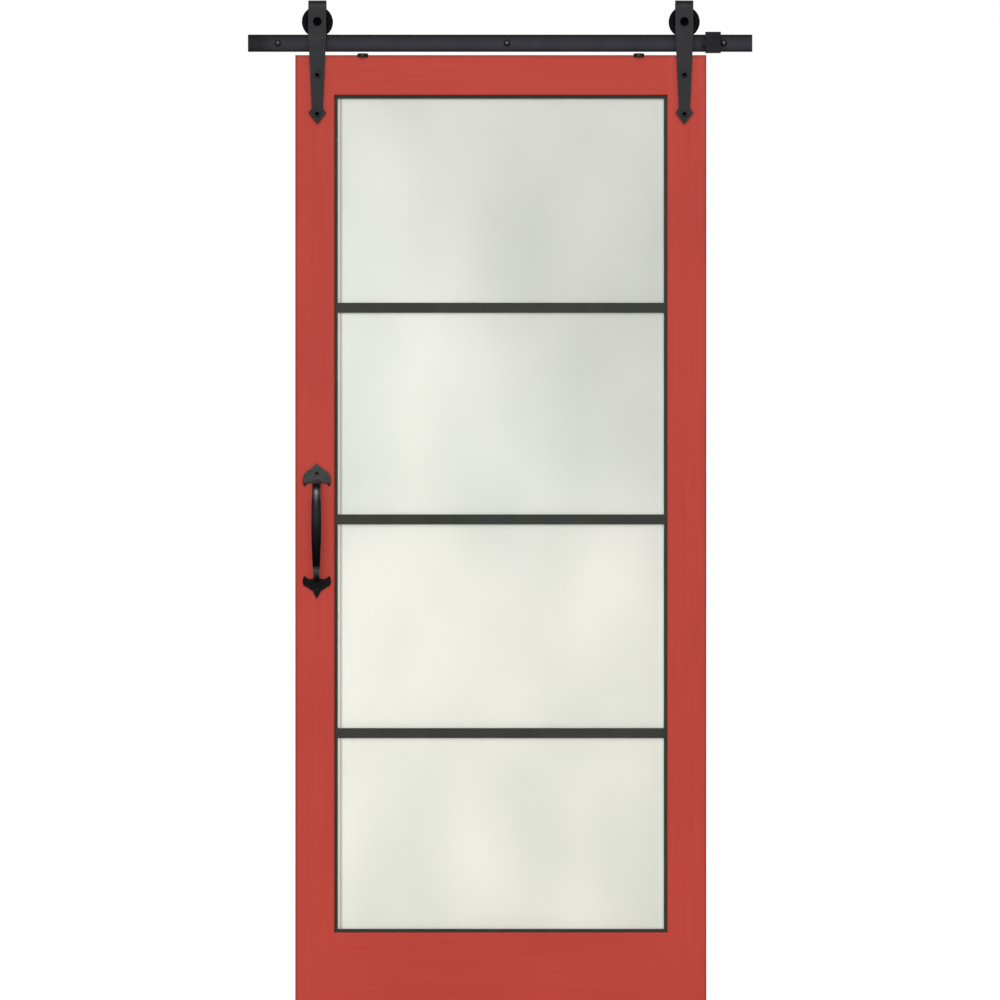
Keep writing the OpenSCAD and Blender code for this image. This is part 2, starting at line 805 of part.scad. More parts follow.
// Four sleeve nuts let in from the leaf's back
module sleeve_nuts() {
    flange_face = door_back + nut_flange_t;
    color(black_iron) for (side = [-1, 1]) for (z = bolt_zs) difference() {
        union() {
            rod(side * hanger_x, z, door_face + nut_barrel_short, door_back, nut_barrel_r);
            rod(side * hanger_x, z, door_back, flange_face - nut_flange_edge, nut_flange_r);
            cone(side * hanger_x, z, flange_face - nut_flange_edge, flange_face,
                nut_flange_r, nut_flange_r - nut_flange_edge);
        }
        rod(side * hanger_x, z, door_face, door_back - bolt_short + end_fit, bolt_r + seat);
        hexagon(side * hanger_x, z, door_back - bolt_short + end_fit, flange_face + cut, nut_socket_af);
    }
}

// Two wings of an end plate, its point at the origin
module plate_wings() {
    for (side = [-1, 1]) translate([side * wing_x, -wing_drop]) circle(wing_r);
}

// Point of an end plate between its wings
module plate_point(shares) {
    half = [for (s = shares) [s[0] * plate_w / 2, -s[1] * wing_drop]];
    for (side = [0, 1]) mirror([side, 0]) polygon(concat(half, [[0, -wing_drop]]));
}

// Notches that part the wings from the grip
module plate_notches() {
    for (side = [-1, 1]) translate([side * notch_x, -notch_drop]) circle(notch_r);
    translate([-notch_x, -notch_drop - notch_r]) square([2 * notch_x, notch_drop + notch_r - plate_len]);
}

// Upper end plate: a broad point with drooping wings
module top_plate_outline() {
    difference() {
        union() {
            plate_point(top_point_shares);
            plate_wings();
        }
        plate_notches();
    }
}

// Lower end plate: a slim point, with hollow flanks up to the wings
module foot_plate_outline() {
    difference() {
        union() {
            plate_point(foot_point_shares);
            difference() {
                plate_wings();
                for (side = [-1, 1]) translate([side * flank_x, flank_up]) circle(flank_r);
            }
        }
        plate_notches();
    }
}

// Middle line of the grip: place in Y and Z at an angle from its top end
function bow(a, half) = [-grip_bow * pow(abs(sin(a)), grip_square_share),
    half * sign(cos(a)) * pow(abs(cos(a)), grip_square_share)];
// Width of the grip at a share of its height
function grip_width(s) = grip_w * (grip_foot_share + (grip_top_share - grip_foot_share) * s
    + (1 - (grip_top_share + grip_foot_share) / 2) * sin(180 * s));
// Ring of points square to the middle line
function grip_ring(a, half) = let (p = bow(a, half), step = 90 / grip_rings,
    d = bow(min(a + step, 180), half) - bow(max(a - step, 0), half), t = d / norm(d),
    w = grip_width((p[1] / half + 1) / 2) / 2, k = w * grip_thick_share)
    [for (j = [0 : grip_sides - 1]) let (f = 360 * j / grip_sides)
        [w * cos(f), p[0] - t[1] * k * sin(f), p[1] + t[0] * k * sin(f)]];

// Bowed, tapered grip between the end plates
module grip() {
    half = handle_len / 2 - grip_root_drop;
    points = [for (i = [0 : grip_rings]) each grip_ring(180 * i / grip_rings, half)];
    sides = [for (i = [0 : grip_rings - 1]) for (j = [0 : grip_sides - 1])
        let (k = (j + 1) % grip_sides, a = i * grip_sides, b = a + grip_sides)
        [a + j, a + k, b + k, b + j]];
    top_end = [for (j = [grip_sides - 1 : -1 : 0]) j];
    foot_end = [for (j = [0 : grip_sides - 1]) grip_rings * grip_sides + j];
    polyhedron(points = points, faces = concat(sides, [top_end, foot_end]));
}

// Cast handle: spade-ended plates at both ends of the grip
module pull_handle() {
    color(black_iron) translate([handle_x, door_face, handle_z]) difference() {
        union() {
            upright(-plate_t, 0) {
                translate([0, handle_len / 2]) top_plate_outline();
                mirror([0, 1]) translate([0, handle_len / 2]) foot_plate_outline();
            }
            translate([0, -grip_root_up, 0]) grip();
        }
        for (side = [-1, 1]) translate([0, 0, side * (handle_len / 2 - plate_screw_drop)]) {
            rod(0, 0, -plate_t - cut, cut, handle_screw_r + fit);
            cone(0, 0, -plate_t, csk_head_h - plate_t, csk_head_r, handle_screw_r + fit);
        }
    }
}

// Slotted countersunk screw along +Z from its head
module csk_screw(r, length) {
    difference() {
        union() {
            cylinder(h = csk_head_h, r1 = csk_head_r - seat, r2 = r);
            cylinder(h = length, r = r);
        }
        translate([-csk_head_r, -slot_w / 2, -cut]) cube([2 * csk_head_r, slot_w, slot_d + cut]);
    }
}

// Two screws of the handle
module handle_screws() {
    color(black_iron) for (side = [-1, 1])
        translate([handle_x, door_face - plate_t, handle_z + side * (handle_len / 2 - plate_screw_drop)])
            rotate([-90, 0, 0]) csk_screw(handle_screw_r, handle_screw_len);
}

// Two discs that keep the wheels from jumping off the track
module jump_discs() {
    disc_t = disc_top - disc_foot;
    color(black_nylon) for (side = [-1, 1]) translate([side * disc_x, disc_y, disc_foot]) difference() {
        union() {
            cylinder(h = disc_t / 2, r = disc_r);
            translate([0, 0, disc_t / 2]) cylinder(h = disc_t / 2, r1 = disc_r, r2 = disc_top_r);
        }
        translate([0, 0, -cut]) cylinder(h = disc_t + 2 * cut, r = disc_screw_r + fit);
        translate([0, 0, disc_t - csk_head_h])
            cylinder(h = csk_head_h, r1 = disc_screw_r + fit, r2 = csk_head_r);
    }
}

// Two screws of the discs
module disc_screws() {
    color(bright_steel) for (side = [-1, 1])
        translate([side * disc_x, disc_y, disc_top])
            rotate([180, 0, 0]) csk_screw(disc_screw_r, disc_screw_len);
}

rail();
spacers();
lag_screws();
stop_block();
stop_bumper();
stop_screws();
floor_guide();
stile_left();
stile_right();
top_rail();
bottom_rail();
sash_left();
sash_right();
sash_top();
sash_bottom();
bar(0);  // bar_upper
bar(1);  // bar_middle
bar(2);  // bar_lower
pane(0);  // pane_top
pane(1);  // pane_upper
pane(2);  // pane_lower
pane(3);  // pane_bottom
gasket(0);  // gasket_top
gasket(1);  // gasket_upper
gasket(2);  // gasket_lower
gasket(3);  // gasket_bottom
sash_screws();
hanger(-hanger_x);  // hanger_left
hanger(hanger_x);  // hanger_right
axle_bolts();
axle_nuts();
axle_sleeves();
bearing_inners();
strap_bolts();
sleeve_nuts();
pull_handle();
handle_screws();
jump_discs();
disc_screws();
wheel(-hanger_x);  // wheel_left
wheel(hanger_x);  // wheel_right
bearing_outer(-hanger_x);  // bearing_outer_left
bearing_outer(hanger_x);  // bearing_outer_right
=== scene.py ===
import json
import math

import bmesh
import bpy
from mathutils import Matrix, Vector


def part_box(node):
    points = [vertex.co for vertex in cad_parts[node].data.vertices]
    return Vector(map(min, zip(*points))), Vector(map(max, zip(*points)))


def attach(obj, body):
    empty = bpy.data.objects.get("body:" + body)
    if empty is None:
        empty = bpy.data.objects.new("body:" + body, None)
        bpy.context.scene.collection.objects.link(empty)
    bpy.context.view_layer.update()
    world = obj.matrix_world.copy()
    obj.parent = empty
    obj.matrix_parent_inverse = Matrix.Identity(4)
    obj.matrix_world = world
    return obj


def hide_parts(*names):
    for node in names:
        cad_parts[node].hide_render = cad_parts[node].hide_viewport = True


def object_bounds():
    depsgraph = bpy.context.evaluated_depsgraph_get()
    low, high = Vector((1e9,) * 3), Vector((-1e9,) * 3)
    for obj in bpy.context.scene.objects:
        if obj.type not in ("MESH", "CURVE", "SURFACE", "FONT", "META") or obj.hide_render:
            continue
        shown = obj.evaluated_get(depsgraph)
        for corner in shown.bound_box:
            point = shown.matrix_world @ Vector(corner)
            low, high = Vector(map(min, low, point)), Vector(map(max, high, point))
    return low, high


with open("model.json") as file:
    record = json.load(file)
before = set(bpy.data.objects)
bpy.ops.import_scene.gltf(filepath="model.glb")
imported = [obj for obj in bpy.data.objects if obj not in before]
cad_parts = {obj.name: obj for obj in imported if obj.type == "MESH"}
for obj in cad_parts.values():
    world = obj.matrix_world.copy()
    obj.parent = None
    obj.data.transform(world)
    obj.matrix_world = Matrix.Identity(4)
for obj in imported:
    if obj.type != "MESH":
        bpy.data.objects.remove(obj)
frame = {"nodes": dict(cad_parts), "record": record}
cadLow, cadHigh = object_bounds()
nodes = frame["nodes"]
scene = bpy.context.scene
mm = 0.001
quarterTurn = math.radians(90)
print("frame loaded:", len(nodes), "nodes")

# places in the frame that the finishes and the new pieces follow
leafLow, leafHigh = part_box("stile_left")[0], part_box("stile_right")[1]
railLow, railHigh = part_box("rail")
glassLow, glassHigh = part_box("pane_bottom")[0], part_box("pane_top")[1]
sightLeft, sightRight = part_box("sash_left")[1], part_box("sash_right")[0]
screwLow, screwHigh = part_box("lag_screws")
strapLow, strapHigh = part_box("hanger_right")
boltLow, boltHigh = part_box("strap_bolts")
pullLow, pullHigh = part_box("pull_handle")
mounts = {mount["name"]: mount for mount in frame["record"]["mounts"]}


# sRGB hex to the linear colour that a shader takes
def linear(hexText):
    channels = [int(hexText[i:i + 2], 16) / 255 for i in (1, 3, 5)]
    return [c / 12.92 if c <= 0.04045 else ((c + 0.055) / 1.055) ** 2.4 for c in channels] + [1.0]


# the same grey level in every channel
def grey(level):
    return (level, level, level, 1)


# adds a node, sets its sockets, properties or colour stops, and links its inputs
def addNode(tree, kind, settings=None, links=None):
    node = tree.nodes.new(kind)
    for name, value in (settings or {}).items():
        if name == "stops":
            marks = node.color_ramp.elements
            while len(marks) < len(value):
                marks.new(1.0)
            for mark, (place, colour) in zip(marks, value):
                mark.position = place
                mark.color = colour
        elif isinstance(name, int) or name in node.inputs:
            node.inputs[name].default_value = value
        else:
            setattr(node, name, value)
    for name, source in (links or {}).items():
        tree.links.new(source, node.inputs[name])
    return node


noise = "ShaderNodeTexNoise"
cells = "ShaderNodeTexVoronoi"
slope = "ShaderNodeTexGradient"
noiseFine = {"Scale": 1.0, "Detail": 3.0, "Roughness": 0.6}
noiseSoft = {"Scale": 1.0, "Detail": 1.5, "Roughness": 0.5}
noiseSpan = (0.3, 0.7)  # most of a noise's values lie between these


# one finish from its recipe: tones, gloss, sheen and relief, in real millimetres on the object's own axes
def makeFinish(name, recipe):
    mat = bpy.data.materials.new(name)
    mat.use_nodes = True
    tree = mat.node_tree
    shader = tree.nodes["Principled BSDF"]
    for socket, value in recipe["shader"].items():
        shader.inputs[socket].default_value = value
    coords = addNode(tree, "ShaderNodeTexCoord")

    def pattern(layer):
        stretch = layer.get("stretch", (1, 1, 1))
        place = addNode(tree, "ShaderNodeMapping", {
            "Scale": [s / (layer["mm"] * mm) for s in stretch],
            "Rotation": layer.get("turn", (0, 0, 0)),
            "Location": layer.get("shift", (0, 0, 0)),
        }, {"Vector": coords.outputs["Object"]})
        texture = addNode(tree, layer["node"], layer.get("settings"), {"Vector": place.outputs["Vector"]})
        return texture.outputs[0]

    colour = None
    for layer in recipe["tones"]:
        stops = [(place, linear(tone)) for place, tone in layer["stops"]]
        ramp = addNode(tree, "ShaderNodeValToRGB", {"stops": stops}, {"Fac": pattern(layer)})
        if colour is None:
            colour = ramp.outputs["Color"]
        else:
            mix = addNode(tree, "ShaderNodeMix", {"data_type": "RGBA", "blend_type": "MULTIPLY", 0: 1.0},
                          {6: colour, 7: ramp.outputs["Color"]})
            colour = mix.outputs[2]
    tree.links.new(colour, shader.inputs["Base Color"])

    gloss = recipe["gloss"]
    spread = addNode(tree, "ShaderNodeMapRange", {
        "From Min": noiseSpan[0], "From Max": noiseSpan[1], "To Min": gloss["low"], "To Max": gloss["high"],
    }, {"Value": pattern(gloss)})
    tree.links.new(spread.outputs["Result"], shader.inputs["Roughness"])
    if "sheen" in recipe:
        stops = [(place, grey(level)) for place, level in recipe["sheen"]["stops"]]
        ramp = addNode(tree, "ShaderNodeValToRGB", {"stops": stops}, {"Fac": pattern(recipe["sheen"])})
        tree.links.new(ramp.outputs["Color"], shader.inputs["Specular IOR Level"])

    normal = None
    for layer in recipe["relief"]:
        bump = addNode(tree, "ShaderNodeBump", {
            "Strength": layer["strength"], "Distance": layer["deepMm"] * mm,
        }, {"Height": pattern(layer)})
        if normal is not None:
            tree.links.new(normal, bump.inputs["Normal"])
        normal = bump.outputs["Normal"]
    tree.links.new(normal, shader.inputs["Normal"])
    return mat


# layer settings for a tone that runs from 0 to 1 between two places on an axis; along Z it runs downwards
def fromTo(axis, start, end):
    span = abs(end - start)
    turns = {"x": (0, 0, 0), "y": (0, 0, -quarterTurn), "z": (0, -quarterTurn, 0)}
    shift = start / span if axis == "z" else -start / span
    return {"node": slope, "mm": span / mm, "turn": turns[axis], "shift": (shift, 0, 0)}


# Satin alkyd enamel rolled on timber: an even brick red, a soft sheen, the grain only just telling through,
# and painted shade along the leaf's outer edges, where they turn away from the light.
# The grain is drawn at 9 mm and the roller's stipple at 5 mm, coarser than real, so that they show.
def satinEnamel(name, stretch):
    edgeShade = "#CACACA"
    return makeFinish(name, {
        "shader": {"IOR": 1.5, "Specular IOR Level": 0.24},
        "tones": [
            {"node": noise, "mm": 9, "stretch": stretch, "settings": noiseFine,
             "stops": ((0.3, "#A63124"), (0.7, "#AC3629"))},
            {"node": noise, "mm": 320, "settings": noiseSoft,
             "stops": ((0.3, "#F6F4F4"), (0.7, "#FFFFFF"))},
            # painted shade along the leaf's left and right edges, and below along its top and bottom edges
            {**fromTo("x", leafLow.x, leafHigh.x),
             "stops": ((0.0028, edgeShade), (0.0048, "#FFFFFF"), (0.9952, "#FFFFFF"), (0.9972, edgeShade))},
            {**fromTo("z", leafHigh.z, leafLow.z),
             "stops": ((0.0014, edgeShade), (0.0024, "#FFFFFF"), (0.9978, "#FFFFFF"), (0.9988, edgeShade))},
        ],
        "gloss": {"node": noise, "mm": 40, "stretch": stretch, "settings": noiseSoft,
                  "low": 0.46, "high": 0.56},
        "relief": [
            {"node": noise, "mm": 9, "stretch": stretch, "settings": noiseFine,
             "strength": 0.25, "deepMm": 0.5},
            {"node": noise, "mm": 5, "settings": noiseSoft, "strength": 0.12, "deepMm": 0.4},
        ],
    })


finishes = {}
finishes["satinEnamelUpright"] = satinEnamel("satinEnamelUpright", (1, 1, 0.03))
finishes["satinEnamelLevel"] = satinEnamel("satinEnamelLevel", (0.03, 1, 1))

# Polyester powder coat on hot-rolled steel: charcoal black, fine orange peel that breaks up the sheen.
# The peel is drawn at 4 mm, about four times its real size.
finishes["powderCoatSteel"] = makeFinish("powderCoatSteel", {
    "shader": {"IOR": 1.5, "Specular IOR Level": 0.21},
    "tones": [
        {"node": noise, "mm": 60, "settings": noiseFine, "stops": ((0.3, "#141417"), (0.7, "#1C1C21"))},
    ],
    "gloss": {"node": noise, "mm": 25, "settings": noiseSoft, "low": 0.42, "high": 0.56},
    "relief": [
        {"node": noise, "mm": 4, "settings": noiseSoft, "strength": 0.25, "deepMm": 0.3},
    ],
})

# The same coat on the track, painted with shade: paler along the middle of the bar and near black at its
# arrises, as the lit bar shows; it is also darker towards its left end.
dullEndMm = 60
finishes["powderCoatTrack"] = makeFinish("powderCoatTrack", {
    "shader": {"IOR": 1.5, "Specular IOR Level": 0.08},
    "tones": [
        # painted shade: paler along the middle, near black at the top and bottom arrises
        {**fromTo("z", railHigh.z, railLow.z),
         "stops": ((0.03, "#0C0C0E"), (0.09, "#1B1B1F"), (0.2, "#242429"), (0.5, "#303037"),
                   (0.8, "#29292F"), (0.92, "#1C1C20"), (0.955, "#060607"))},
        # darker towards the left end
        {**fromTo("x", railLow.x, railLow.x + dullEndMm * mm),
         "stops": ((0.45, "#B4B4B4"), (1.0, "#FFFFFF"))},
        {"node": noise, "mm": 60, "settings": noiseFine, "stops": ((0.3, "#EDEDED"), (0.7, "#FFFFFF"))},
    ],
    "gloss": {"node": noise, "mm": 25, "settings": noiseSoft, "low": 0.42, "high": 0.56},
    "relief": [
        {"node": noise, "mm": 4, "settings": noiseSoft, "strength": 0.25, "deepMm": 0.3},
    ],
})

# The clamp's coat, thicker and duller than the track's.
finishes["powderCoatClamp"] = makeFinish("powderCoatClamp", {
    "shader": {"IOR": 1.5, "Specular IOR Level": 0.1},
    "tones": [
        {"node": noise, "mm": 30, "settings": noiseFine, "stops": ((0.3, "#121215"), (0.7, "#1A1A1E"))},
    ],
    "gloss": {"node": noise, "mm": 25, "settings": noiseSoft, "low": 0.44, "high": 0.58},
    "relief": [
        {"node": noise, "mm": 4, "settings": noiseSoft, "strength": 0.3, "deepMm": 0.3},
    ],
})

# Powder coat on extruded aluminium: a warmer, smoother black than the steel.
finishes["powderCoatSash"] = makeFinish("powderCoatSash", {
    "shader": {"IOR": 1.5, "Specular IOR Level": 0.25},
    "tones": [
        {"node": noise, "mm": 45, "settings": noiseFine, "stops": ((0.3, "#20211B"), (0.7, "#282922"))},
    ],
    "gloss": {"node": noise, "mm": 30, "settings": noiseSoft, "low": 0.44, "high": 0.54},
    "relief": [
        {"node": noise, "mm": 4, "settings": noiseSoft, "strength": 0.15, "deepMm": 0.25},
    ],
})

# Acid-etched float glass: milky off-white and cloudy, no clear view through it. Painted light makes it
# darker at the top and brightest in the lower panes, and it is a shade darker towards the upper right. A
# painted shadow of the sash runs as a soft grey line along the left edge, and painted light lifts the panes
# along the right edge.
# The etch's grain is drawn at 5 mm, far coarser than its real 0.05 mm.
finishes["etchedGlass"] = makeFinish("etchedGlass", {
    "shader": {"IOR": 1.52, "Transmission Weight": 0.7, "Specular IOR Level": 0.4},
    "tones": [
        # painted light: darker at the top, brightest in the lower panes
        {**fromTo("z", glassHigh.z, glassLow.z),
         "stops": ((0.2, "#F2F3EC"), (0.45, "#F4F5ED"), (0.6, "#FBFAF2"), (0.95, "#F7F7ED"))},
        # painted shadow of the left sash as a grey line; painted light along the right edge
        {**fromTo("x", sightLeft.x, sightRight.x),
         "stops": ((0.0066, "#FFFFFF"), (0.0082, "#B0B0B0"), (0.0108, "#C4C4C4"), (0.015, "#FFFFFF"),
                   (0.5, "#FAFAFA"), (0.98, "#F7F7F7"), (0.988, "#FFFFFF"))},
        # a shade darker towards the upper right
        {"node": slope, "mm": 916, "turn": (0, math.radians(-142), 0), "shift": (0.235, 0, 0),
         "stops": ((0.5, "#EEEEEE"), (0.82, "#FFFFFF"))},
        {"node": noise, "mm": 260, "stretch": (1, 1, 0.6), "settings": noiseSoft,
         "stops": ((0.3, "#F0F2F1"), (0.7, "#FFFFFF"))},
    ],
    "gloss": {"node": noise, "mm": 120, "settings": noiseSoft, "low": 0.5, "high": 0.62},
    "relief": [
        {"node": noise, "mm": 5, "settings": noiseFine, "strength": 0.1, "deepMm": 0.2},
    ],
})

# EPDM rubber, extruded: dull black that takes almost no light.
finishes["epdmRubber"] = makeFinish("epdmRubber", {
    "shader": {"IOR": 1.5, "Specular IOR Level": 0.25},
    "tones": [
        {"node": noise, "mm": 20, "settings": noiseFine, "stops": ((0.3, "#131314"), (0.7, "#1A1A1B"))},
    ],
    "gloss": {"node": noise, "mm": 15, "settings": noiseSoft, "low": 0.72, "high": 0.86},
    "relief": [
        {"node": noise, "mm": 1.5, "settings": noiseFine, "strength": 0.2, "deepMm": 0.1},
    ],
})

# Glass-filled nylon, injection moulded: deep matte black with a faint spark-eroded texture.
finishes["mouldedNylon"] = makeFinish("mouldedNylon", {
    "shader": {"IOR": 1.53, "Specular IOR Level": 0.04},
    "tones": [
        {"node": noise, "mm": 18, "settings": noiseFine, "stops": ((0.3, "#040405"), (0.7, "#060607"))},
    ],
    "gloss": {"node": noise, "mm": 12, "settings": noiseSoft, "low": 0.5, "high": 0.64},
    "relief": [
        {"node": noise, "mm": 1.4, "settings": noiseFine, "strength": 0.25, "deepMm": 0.1},
    ],
})

# Black nylon turned from bar: the same dye, with a faint sheen left by the tool.
finishes["turnedNylon"] = makeFinish("turnedNylon", {
    "shader": {"IOR": 1.53, "Specular IOR Level": 0.2},
    "tones": [
        {"node": noise, "mm": 18, "settings": noiseFine, "stops": ((0.3, "#0A0A0B"), (0.7, "#101011"))},
    ],
    "gloss": {"node": noise, "mm": 12, "settings": noiseSoft, "low": 0.36, "high": 0.48},
    "relief": [
        {"node": noise, "mm": 1.4, "stretch": (0.2, 0.2, 1), "settings": noiseFine,
         "strength": 0.2, "deepMm": 0.08},
    ],
})

# Sand-cast iron under black lacquer: near black, a slightly pitted skin with soft glints. The upper spade
# is painted a graphite grey as a painted reflection, the grip's upper bend carries a faint painted
# highlight, and the grip is painted darker towards its foot as painted shade; the lacquer is polished at
# both bends of the grip and dull towards its foot.
finishes["lacqueredIron"] = makeFinish("lacqueredIron", {
    "shader": {"IOR": 1.5},
    "tones": [
        # painted reflection on the upper spade, painted highlight at the upper bend, painted shade towards
        # the foot
        {**fromTo("z", pullHigh.z, pullLow.z),
         "stops": ((0.132, "#353636"), (0.152, "#0C0C0D"), (0.2, "#121213"), (0.3, "#0C0C0D"),
                   (0.7, "#060607"))},
        {"node": noise, "mm": 14, "settings": noiseFine, "stops": ((0.3, "#D0D0D2"), (0.7, "#FFFFFF"))},
    ],
    "gloss": {"node": noise, "mm": 9, "settings": noiseSoft, "low": 0.24, "high": 0.34},
    "sheen": {**fromTo("z", pullHigh.z, pullLow.z),
              "stops": ((0.132, 0.22), (0.155, 0.06), (0.178, 0.12), (0.205, 0.9), (0.235, 0.45),
                        (0.28, 0.17), (0.4, 0.19), (0.48, 0.11), (0.6, 0.04), (0.76, 0.03),
                        (0.795, 0.9), (0.845, 0.08))},
    "relief": [
        {"node": cells, "mm": 3.2, "settings": {"Scale": 1.0, "feature": "SMOOTH_F1"},
         "strength": 0.2, "deepMm": 0.25},
        {"node": noise, "mm": 2.2, "settings": noiseFine, "strength": 0.2, "deepMm": 0.2},
    ],
})

# Black oxide on steel: a thin dark conversion coat, the metal's own gloss still under it.
finishes["blackOxideSteel"] = makeFinish("blackOxideSteel", {
    "shader": {"Metallic": 1.0},
    "tones": [
        {"node": noise, "mm": 8, "settings": noiseFine, "stops": ((0.3, "#161618"), (0.7, "#1F1F21"))},
    ],
    "gloss": {"node": noise, "mm": 6, "settings": noiseSoft, "low": 0.36, "high": 0.5},
    "relief": [
        {"node": noise, "mm": 1.2, "settings": noiseFine, "strength": 0.15, "deepMm": 0.08},
    ],
})

# Black oxide on each lag screw, with a painted highlight on the crown of its dome.
screwDomeMm = 2.2
finishes["oxideSteelPaintedHighlight"] = makeFinish("oxideSteelPaintedHighlight", {
    "shader": {"Metallic": 1.0},
    "tones": [
        # painted highlight, brightest on the crown of the dome
        {**fromTo("y", screwLow.y, screwLow.y + screwDomeMm * mm),
         "stops": ((0.06, "#565658"), (0.24, "#404042"), (0.5, "#262628"))},
        {"node": noise, "mm": 4, "settings": noiseFine, "stops": ((0.3, "#D8D8D8"), (0.7, "#FFFFFF"))},
    ],
    "gloss": {"node": noise, "mm": 6, "settings": noiseSoft, "low": 0.36, "high": 0.5},
    "relief": [
        {"node": noise, "mm": 1.2, "settings": noiseFine, "strength": 0.15, "deepMm": 0.08},
    ],
})

# Manganese phosphate under oil: a dense crystalline coat, the dullest black of the fittings. The strap
# bolts' sockets take it as painted shade in their recesses.
finishes["phosphatedSteelAndSocketShade"] = makeFinish("phosphatedSteelAndSocketShade", {
    "shader": {"IOR": 1.5, "Specular IOR Level": 0.012},
    "tones": [
        {"node": noise, "mm": 6, "settings": noiseFine, "stops": ((0.3, "#020202"), (0.7, "#030304"))},
    ],
    "gloss": {"node": noise, "mm": 5, "settings": noiseSoft, "low": 0.5, "high": 0.62},
    "relief": [
        {"node": noise, "mm": 1.2, "settings": noiseFine, "strength": 0.2, "deepMm": 0.08},
    ],
})

# Zinc-plated steel: bright, faintly blue and clouded, with the spangle of the plating bath.
finishes["zincPlatedSteel"] = makeFinish("zincPlatedSteel", {
    "shader": {"Metallic": 1.0},
    "tones": [
        {"node": cells, "mm": 3, "settings": {"Scale": 1.0}, "stops": ((0.1, "#A3A6AA"), (0.9, "#C2C5C8"))},
    ],
    "gloss": {"node": noise, "mm": 5, "settings": noiseSoft, "low": 0.26, "high": 0.4},
    "relief": [
        {"node": noise, "mm": 1.5, "settings": noiseFine, "strength": 0.1, "deepMm": 0.06},
    ],
})
print("finishes made:", len(finishes))

easing = {"weldM": 2e-6, "flatDeg": 0.5, "segments": 3, "sharpDeg": 35}


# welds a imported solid's split faces and drops its stored normals, so that its edges can be rounded
def makeWeldGroup():
    tree = bpy.data.node_groups.new("weldFaces", "GeometryNodeTree")
    tree.interface.new_socket("Geometry", in_out="INPUT", socket_type="NodeSocketGeometry")
    tree.interface.new_socket("Geometry", in_out="OUTPUT", socket_type="NodeSocketGeometry")
    start = addNode(tree, "NodeGroupInput")
    weld = addNode(tree, "GeometryNodeMergeByDistance", {"Distance": easing["weldM"]},
                   {"Geometry": start.outputs[0]})
    plain = addNode(tree, "GeometryNodeSetMeshNormal", {"mode": "SHARPNESS", "Remove Custom": True},
                    {"Mesh": weld.outputs[0]})
    addNode(tree, "NodeGroupOutput", None, {0: plain.outputs[0]})
    return tree


weldGroup = makeWeldGroup()


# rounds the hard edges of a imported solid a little, as coating and deburring do
def easeEdges(node, widthMm):
    weld = node.modifiers.new("weld", "NODES")
    weld.node_group = weldGroup
    flats = node.modifiers.new("wholeFlats", "DECIMATE")
    flats.decimate_type = "DISSOLVE"
    flats.angle_limit = math.radians(easing["flatDeg"])
    bevel = node.modifiers.new("easedEdges", "BEVEL")
    bevel.width = widthMm * mm
    bevel.segments = easing["segments"]
    bevel.limit_method = "ANGLE"
    bevel.angle_limit = math.radians(easing["sharpDeg"])
    bevel.harden_normals = True


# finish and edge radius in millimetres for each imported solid; 0 keeps the edges as built
dressing = {
    "satinEnamelUpright": {"stile_left": 0, "stile_right": 0},
    "satinEnamelLevel": {"top_rail": 0, "bottom_rail": 0},
    "powderCoatTrack": {"rail": 1.6},
    "powderCoatClamp": {"stop_block": 2.2},
    "powderCoatSteel": {"spacers": 0.5, "floor_guide": 0.6, "hanger_left": 2, "hanger_right": 2},
    "powderCoatSash": {
        "sash_left": 0.5, "sash_right": 0.5, "sash_top": 0.5, "sash_bottom": 0.5,
        "bar_upper": 0.5, "bar_middle": 0.5, "bar_lower": 0.5,
    },
    "etchedGlass": {"pane_top": 0, "pane_upper": 0, "pane_lower": 0, "pane_bottom": 0},
    "epdmRubber": {
        "gasket_top": 0, "gasket_upper": 0, "gasket_lower": 0, "gasket_bottom": 0, "stop_bumper": 0.6,
    },
    "mouldedNylon": {"wheel_left": 0.4, "wheel_right": 0.4},
    "turnedNylon": {"jump_discs": 0.6},
    "phosphatedSteelAndSocketShade": {"axle_bolts": 0.4, "axle_nuts": 0.4},
    "blackOxideSteel": {"sleeve_nuts": 0.3, "handle_screws": 0},
    "zincPlatedSteel": {
        "stop_screws": 0, "sash_screws": 0, "axle_sleeves": 0, "bearing_inners": 0, "disc_screws": 0,
        "bearing_outer_left": 0, "bearing_outer_right": 0,
    },
}
for finish, members in dressing.items():
    for nodeName, edgeMm in members.items():
        node = nodes[nodeName]
        node.data.materials.clear()
        node.data.materials.append(finishes[finish])
        if edgeMm:
            easeEdges(node, edgeMm)
print("solids dressed:", sum(len(members) for members in dressing.values()))


# new piece from a bmesh in millimetres about a place in the frame
def newPiece(name, work, place, *finishNames):
    bmesh.ops.recalc_face_normals(work, faces=work.faces)
    bmesh.ops.scale(work, vec=(mm, mm, mm), verts=work.verts)
    bmesh.ops.translate(work, vec=place, verts=work.verts)
    mesh = bpy.data.meshes.new(name)
    work.to_mesh(mesh)
    work.free()
    piece = bpy.data.objects.new(name, mesh)
    scene.collection.objects.link(piece)
    for finish in finishNames:
        mesh.materials.append(finishes[finish])
    return piece


# angles of the points round a ring
def ringAngles(sides):
    return [2 * math.pi * i / sides for i in range(sides)]


# skin over a row of closed rings that have the same number of points, with both ends filled;
# from the ring number given on, faces take the piece's second finish
def skinRings(work, rings, secondFrom=None):
    made = [[work.verts.new(p) for p in ring] for ring in rings]
    for step, (before, after) in enumerate(zip(made, made[1:])):
        count = len(before)
        for i in range(count):
            k = (i + 1) % count
            face = work.faces.new((before[i], before[k], after[k], after[i]))
            face.material_index = 1 if secondFrom is not None and step >= secondFrom else 0
    work.faces.new(made[0][::-1])
    last = work.faces.new(made[-1])
    last.material_index = 1 if secondFrom is not None else 0


